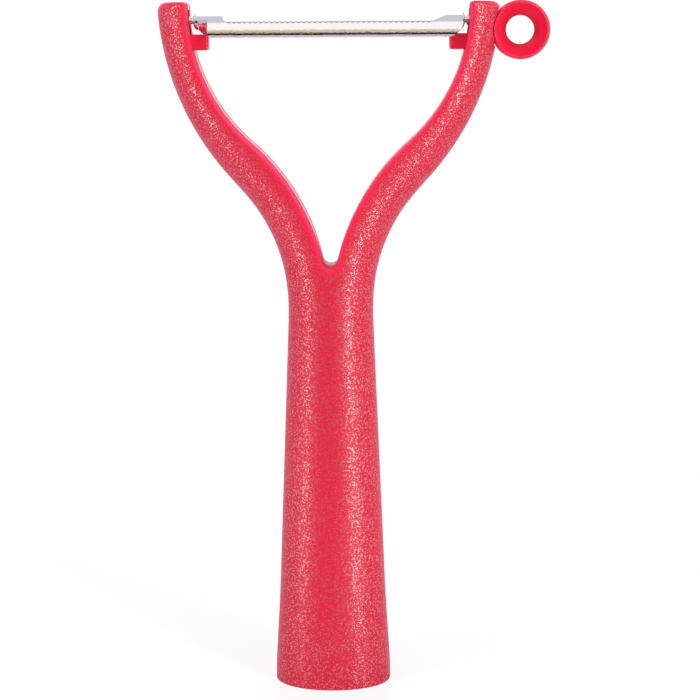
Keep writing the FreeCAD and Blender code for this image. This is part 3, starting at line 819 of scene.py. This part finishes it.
def eyeRing():
    # the profile turned about the mount's axis, with a square neck joined to it
    form = ringForm
    sheets = Sheets()
    sheets.add(lathe(ringProfile(), ringX, ringZ, 128))
    ring = sheets.build("eyeRing", form["sharp"], 0.002)
    neckEnd = ringX - (form["holeRadius"] + form["rimRadius"]) / 2.0
    neck = cutterBox("ringNeck",
                     (lugHigh[0] + 0.1, -form["neckHalfDepth"], ringZ - form["neckHalfHeight"]),
                     (neckEnd, form["neckHalfDepth"], ringZ + form["neckHalfHeight"]))
    combine(ring, [neck], "UNION", form["sharp"])
    bpy.data.objects.remove(neck)
    paintHoleShade(ring.data)
    return ring


ring = eyeRing()
dress(ring, smoothRed, "handle")
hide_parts("eye_remover_ring")
print("ring made")


# the blade, as an arch of sheet steel with a slot along its ridge
bladeForm = {
    "sheet": 0.72,
    "edgeShare": 0.16,         # the ground edge's thickness, as a share of the sheet
    "grind": 0.8,              # how far back the edge is ground
    "ridge": 1.1,              # heights from the pivot's axis
    "crease": -0.22,
    "waist": -3.05,
    "lip": -3.85,
    "creaseDepth": 3.3,        # half depths of the arch
    "waistDepth": 4.98,
    "lipDepth": 4.65,
    "slotDepth": 3.0,
    "tabDepth": 2.0,
    "slotHalf": 24.2,
    "leftSlope": 0.7,          # how far each end of the slot slopes back to the ridge
    "rightSlope": 3.0,
    "pitch": 1.25,
    "scallopRadius": 0.72,
    "scallopCut": 0.22,
    "endCut": 3.1,
    "smallCorner": 1.0,
    "bigCorner": 3.7,
    "earHeight": 2.0,          # below the pivot's axis
    "earThickness": 0.75,
    "sharp": 34.0,
    # painted shade: how far below the scallops the dark rim is painted
    "rimShadeReach": 0.42,           # how far below the scallops their ground rim looks dark
}


def archLine(steps=240):
    # one side of the section as (depth, height): a straight roof, a cubic that turns it down
    # to the waist, and an arc that tucks the lip in; then evenly spaced along its length
    form = bladeForm
    roof = np.linspace([0.0, form["ridge"]], [form["creaseDepth"], form["crease"]], 30)
    first, last = roof[-1], np.array([form["waistDepth"], form["waist"]])
    slope = (roof[-1] - roof[0]) / np.linalg.norm(roof[-1] - roof[0])
    second, third = first + slope * 0.95, last + np.array([0.0, 1.6])
    part = np.linspace(0.0, 1.0, 60)[1:, None]
    rest = 1.0 - part
    skirt = (first * rest ** 3 + 3.0 * second * rest ** 2 * part
             + 3.0 * third * rest * part ** 2 + last * part ** 3)
    drop, tuck = form["waist"] - form["lip"], form["waistDepth"] - form["lipDepth"]
    bend = (drop ** 2 + tuck ** 2) / (2.0 * tuck)
    lip = arc(form["waistDepth"] - bend, form["waist"], bend, 0.0,
              -math.degrees(math.asin(drop / bend)), 16)[1:]
    line = np.concatenate([roof, skirt, lip])
    run = runAlong(line)
    place = np.linspace(0.0, run[-1], steps)
    return np.stack([np.interp(place, run, line[:, 0]), np.interp(place, run, line[:, 1])], -1)


def runAlong(line):
    # the length of a line from its start to each of its points
    return np.concatenate([[0.0], np.cumsum(np.hypot(*np.diff(line, axis=0).T))])


arch = archLine()
archRun = runAlong(arch)
skirtTop = int(np.argmax(arch[:, 0]))
scallopCount = int(2.0 * bladeForm["slotHalf"] / bladeForm["pitch"])
scallopSpan = scallopCount * bladeForm["pitch"] / 2.0


def scallops(x):
    # how deep the row of round scallops bites into the skirt's edge at x
    form = bladeForm
    offset = (x + scallopSpan) % form["pitch"] - form["pitch"] / 2.0
    bite = np.sqrt(np.clip(form["scallopRadius"] ** 2 - offset ** 2, 0.0, None))
    bite = np.clip(bite - form["scallopRadius"] + form["scallopCut"], 0.0, None)
    return np.where(np.abs(x) > scallopSpan, 0.0, bite)


def bladeHalf(sheets, leftSlope, rightSlope, turned):
    # one side of the arch: x along the blade by run down the section, in bands that end at the
    # slot, at the end cut's corner and at the far end's large corner
    form = bladeForm
    half = bladeEnd
    slotHalf, cut = form["slotHalf"], half - form["endCut"]
    tabRun = np.interp(form["tabDepth"], arch[:skirtTop, 0], archRun[:skirtTop])
    slotRun = np.interp(form["slotDepth"], arch[:skirtTop, 0], archRun[:skirtTop])
    endRun = archRun[-1]
    part = np.linspace(0.0, 1.0, 9)

    def put(x, run, thin=0.0):
        run = np.broadcast_to(run, x.shape)
        depth = np.interp(run, archRun, arch[:, 0])
        height = np.interp(run, archRun, arch[:, 1]) + pivotHeight
        grid = np.stack([x, -depth, height], -1)
        sheets.add(grid * np.array([-1.0, -1.0, 1.0]) if turned else grid, thin)

    # the roof at both ends, above the slot's level
    for first, last, steps in ((0.0, tabRun, 9), (tabRun, slotRun, 6)):
        run = np.linspace(first, last, steps)[:, None]
        back = 1.0 - np.interp(run, archRun, arch[:, 0]) / form["slotDepth"]
        left = -(slotHalf + leftSlope * back)
        right = slotHalf + rightSlope * back
        put(left + (-cut - left) * part, run)
        put(right + (cut - right) * part, run)
        put(cut + (half - cut) * part + run * 0.0, run)
        if first == 0.0:
            put(-cut - (half - cut) * part + run * 0.0, run)

    # the skirt at both ends, below the slot's level
    run = np.linspace(slotRun, endRun, 40)[:, None]
    rise = np.interp(run, archRun, arch[:, 1]) - form["lip"]
    small, big = form["smallCorner"], form["bigCorner"]
    leftEnd = -cut + small - np.sqrt(small ** 2 - np.clip(small - rise, 0.0, small) ** 2)
    rightEnd = half - big + np.sqrt(big ** 2 - np.clip(big - rise, 0.0, big) ** 2)
    put(-slotHalf + (leftEnd + slotHalf) * part, run)
    reach = np.concatenate([(cut - slotHalf) * part, cut - slotHalf + (half - cut) * part[1:]])
    put(slotHalf + (rightEnd - slotHalf) * reach / (half - slotHalf), run)

    # the skirt between them, whose upper edge is a row of round scallops
    scalloped = np.linspace(-scallopSpan, scallopSpan, scallopCount * 10 + 1)
    x = np.concatenate([[-slotHalf], scalloped, [slotHalf]])
    bite = scallops(x) * (0.0 if turned else 1.0)
    edgeHeight = np.interp(slotRun, archRun, arch[:, 1])
    edgeRun = np.interp(bite - edgeHeight, -arch[:, 1], archRun)
    share = np.linspace(0.0, 1.0, 40)[:, None]
    run = edgeRun + (endRun - edgeRun) * share
    thin = np.clip(1.0 - (run - edgeRun) / form["grind"], 0.0, 1.0)
    thin = thin * np.clip((slotHalf - np.abs(x)) / 0.6, 0.0, 1.0)
    put(x + run * 0.0, run, thin)


def earPlate(sheets, end):
    # an upright plate under the roof's end: its outline drawn in at both faces
    form = bladeForm
    tab, inside = form["tabDepth"], bladeEnd - form["earThickness"]
    slope = (form["ridge"] - form["crease"]) / form["creaseDepth"]
    under = form["ridge"] - form["sheet"] * 0.7
    low = arc(0.0, 0.0, tab, 180.0, 360.0, 25) * np.array([1.0, form["earHeight"] / tab])
    outline = np.concatenate([low, [[tab, under - slope * tab], [0.0, under],
                                    [-tab, under - slope * tab]], low[:1]])
    middle = np.array([0.0, -0.3])
    rows = []
    for x, scale in ((inside, 0.0), (inside, 0.95), (inside + 0.06, 1.0), (bladeEnd - 0.12, 1.0),
                     (bladeEnd - 0.03, 0.96), (bladeEnd, 0.9), (bladeEnd, 0.0)):
        points = middle + (outline - middle) * scale
        rows.append(np.concatenate([np.full((len(points), 1), x * end), points], 1))
    grid = np.array(rows)
    grid[..., 2] += pivotHeight
    sheets.add(grid)


def peelerBlade():
    # both sides of the arch, thickened inward and ground thin towards the scalloped edge
    form = bladeForm
    sheets = Sheets()
    bladeHalf(sheets, form["leftSlope"], form["rightSlope"], False)
    bladeHalf(sheets, form["rightSlope"], form["leftSlope"], True)
    blade = sheets.build("peelerBlade", 30.0, 0.003)
    marks = np.zeros(len(blade.data.vertices))
    blade.data.attributes["texture"].data.foreach_get("value", marks)
    ground = blade.vertex_groups.new(name="full")
    for level in np.unique(np.round(marks, 2)):
        members = np.nonzero(np.abs(marks - level) < 0.006)[0].tolist()
        ground.add(members, float(1.0 - level), "REPLACE")
    solid = blade.modifiers.new("sheet", "SOLIDIFY")
    solid.thickness = form["sheet"] * mm
    solid.offset = -1.0
    solid.use_even_offset = True
    solid.vertex_group = "full"
    solid.thickness_vertex_group = form["edgeShare"]
    settle(blade, form["sharp"])
    # the rim's mark, painted shade: strongest at the scallops' edge on the front, none between them
    x, y, z = placesOf(blade.data)
    slotHeight = np.interp(form["slotDepth"], arch[:skirtTop, 0], arch[:skirtTop, 1]) + pivotHeight
    bite = scallops(x)
    below = (slotHeight - bite - z) / form["rimShadeReach"]
    near = np.clip(1.0 - below, 0.0, 1.0) * (z < slotHeight + 0.05)
    rim = near * (y < 0.0) * np.clip(bite / form["scallopCut"] * 1.8, 0.0, 1.0)
    writeMark(blade.data, "texture", rim)
    return blade


def bladeEars():
    # an upright plate at each end, which the pins are pressed into
    sheets = Sheets()
    earPlate(sheets, 1.0)
    earPlate(sheets, -1.0)
    return sheets.build("ears", bladeForm["sharp"], 0.003)


blade = peelerBlade()
dress(blade, steel, "blade")
dress(bladeEars(), steel, "blade")
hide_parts("peeler_blade")
print("blade made")


# pieces whose shape stays as packed
for node, finish in (("left_pivot_bearing", smoothRed), ("right_pivot_bearing", smoothRed),
                     ("left_pivot_pin", pinMetal), ("right_pivot_pin", pinMetal)):
    item = frame["nodes"][node]
    item.data.materials.clear()
    item.data.materials.append(finish)
print("bearings and pins finished")


# floor, light and camera
studio = {
    "floorSize": 40.0,
    "floorFront": 0.06,        # how far the floor reaches in front of the part
    "floorColour": rgb(0.92, 0.92, 0.95),
    "floorLift": rgb(0.23, 0.23, 0.21),        # brings the lit floor up to white for the camera
    "floorGlow": 0.75,         # plain white that the camera sees in the floor
    "worldLight": 0.66,
    "overhead": rgb(1.0, 1.0, 1.0),
    "warmWall": rgb(0.66, 0.54, 0.38),
    "ground": rgb(0.58, 0.52, 0.66),
    "rearWall": rgb(0.62, 0.62, 0.70),
    "darkRoom": rgb(0.015, 0.015, 0.02),
    "ahead": (0.55, 0.4),      # where each zone begins, as a share of the way, and its soft step
    "darkTop": (0.12, 0.05),
    "warmTop": (0.46, 0.12),
    "warmFoot": (-0.3, 0.1),
    "groundTop": (-0.42, 0.1),
    "rearAway": (0.45, 0.3),
    "rearFoot": (0.35, 0.2),
    "boxes": ((-51.0, 6.0), (41.0, 10.2)),     # each strip box: degrees from the front, brightness
    "boxWide": 0.12,
    "boxTall": 1.20,
    "boxMiddle": 0.25,
    "boxAway": 0.80,
    "lens": 91.30,
    "cameraPlace": (0.012, -0.420, 0.15869),
    "pitch": -10.245,
    "yaw": 1.02,
    "roll": -0.30,
}


def floorSurface():
    # a white floor that keeps the shadow and the mirrored foot, and that the camera sees lifted
    finish = Finish(bpy.data.materials.new("floorWhite"))
    camera = finish.node("ShaderNodeLightPath", {}, {})[0]
    haze = finish.noise(finish.place(), 3.0, 2.0)
    white = finish.node("ShaderNodeBsdfPrincipled", {}, {
        "Base Color": studio["floorColour"],
        "Roughness": haze * 0.05 + 0.16,
        "Emission Color": finish.blend(camera, rgb(0.0, 0.0, 0.0), studio["floorLift"]),
        "Emission Strength": 1.0})[0]
    glow = finish.node("ShaderNodeEmission", {}, {"Color": rgb(1.0, 1.0, 1.0), "Strength": 1.0})[0]
    share = camera * studio["floorGlow"]
    finish.show(finish.node("ShaderNodeMixShader", {}, {0: share, 1: white, 2: glow})[0])
    return finish.owner


def makeFloor():
    # a flat grid at the foot's level
    half = studio["floorSize"] / 2.0
    x, y = np.meshgrid(np.linspace(-half, half, 3), np.linspace(-studio["floorFront"], half, 3))
    sheets = Sheets()
    sheets.add(np.stack([x, y, 0.0 * x], -1) / mm)
    floor = sheets.build("floor", 30.0, 0.002, False)
    floor.data.materials.append(floorSurface())


def makeWorld():
    # white all round; reflections see a room in front, as behind a camera: dark at its own level,
    # then warm, then white overhead, with a greyer wall high up behind and a greyer ground
    world = bpy.data.worlds.new("studio")
    bpy.context.scene.world = world
    finish = Finish(world)
    rays = finish.node("ShaderNodeLightPath", {}, {})
    camera, glossy, clear = rays[0], rays[3], rays[6]
    direction = finish.node("ShaderNodeTexCoord", {}, {})[0]
    x, y, z = finish.node("ShaderNodeSeparateXYZ", {}, {0: direction})
    mirrored = glossy * (1.0 - camera)
    ahead = (0.0 - y).above(*studio["ahead"]) * mirrored
    dark = ahead * (1.0 - z.above(*studio["darkTop"])) * z.above(*studio["groundTop"])
    warm = ahead * (1.0 - z.above(*studio["warmTop"])) * z.above(*studio["warmFoot"])
    behind = y.above(*studio["rearAway"]) * z.above(*studio["rearFoot"]) * mirrored
    below = (1.0 - z.above(*studio["groundTop"])) * mirrored
    colour = finish.blend(warm, studio["overhead"], studio["warmWall"])
    colour = finish.blend(below, colour, studio["ground"])
    colour = finish.blend(behind, colour, studio["rearWall"])
    colour = finish.blend(dark, colour, studio["darkRoom"])
    seen = (camera + glossy + clear).clamp()
    strength = seen * (1.0 - studio["worldLight"]) + studio["worldLight"]
    light = finish.node("ShaderNodeBackground", {}, {0: colour, 1: strength})[0]
    finish.node("ShaderNodeOutputWorld", {}, {0: light})


def makeBoxes():
    # a tall strip box on each side in front; power is brightness x pi x area
    wide, tall, away = studio["boxWide"], studio["boxTall"], studio["boxAway"]
    for number, (turn, brightness) in enumerate(studio["boxes"]):
        lamp = bpy.data.lights.new("stripBox" + str(number), "AREA")
        lamp.shape = "RECTANGLE"
        lamp.size = wide
        lamp.size_y = tall
        lamp.energy = brightness * math.pi * wide * tall
        item = bpy.data.objects.new("stripBox" + str(number), lamp)
        angle = math.radians(turn)
        item.location = (away * math.sin(angle), -away * math.cos(angle), studio["boxMiddle"])
        item.rotation_euler = (math.pi / 2.0, 0.0, angle)
        item.visible_camera = False
        bpy.context.scene.collection.objects.link(item)


def makeCamera():
    # turned about its own axis by the roll, tipped up from straight down, then turned level
    lens = bpy.data.cameras.new("camera")
    lens.lens = studio["lens"]
    lens.sensor_width = 36.0
    lens.clip_start = 0.01
    lens.clip_end = 100.0
    camera = bpy.data.objects.new("camera", lens)
    turn = (Matrix.Rotation(math.radians(studio["yaw"]), 4, "Z")
            @ Matrix.Rotation(math.radians(90.0 + studio["pitch"]), 4, "X")
            @ Matrix.Rotation(math.radians(studio["roll"]), 4, "Z"))
    camera.matrix_world = Matrix.Translation(Vector(studio["cameraPlace"])) @ turn
    bpy.context.scene.collection.objects.link(camera)
    bpy.context.scene.camera = camera


makeFloor()
makeWorld()
makeBoxes()
makeCamera()
bpy.context.scene.view_settings.view_transform = "Standard"
print("studio made")
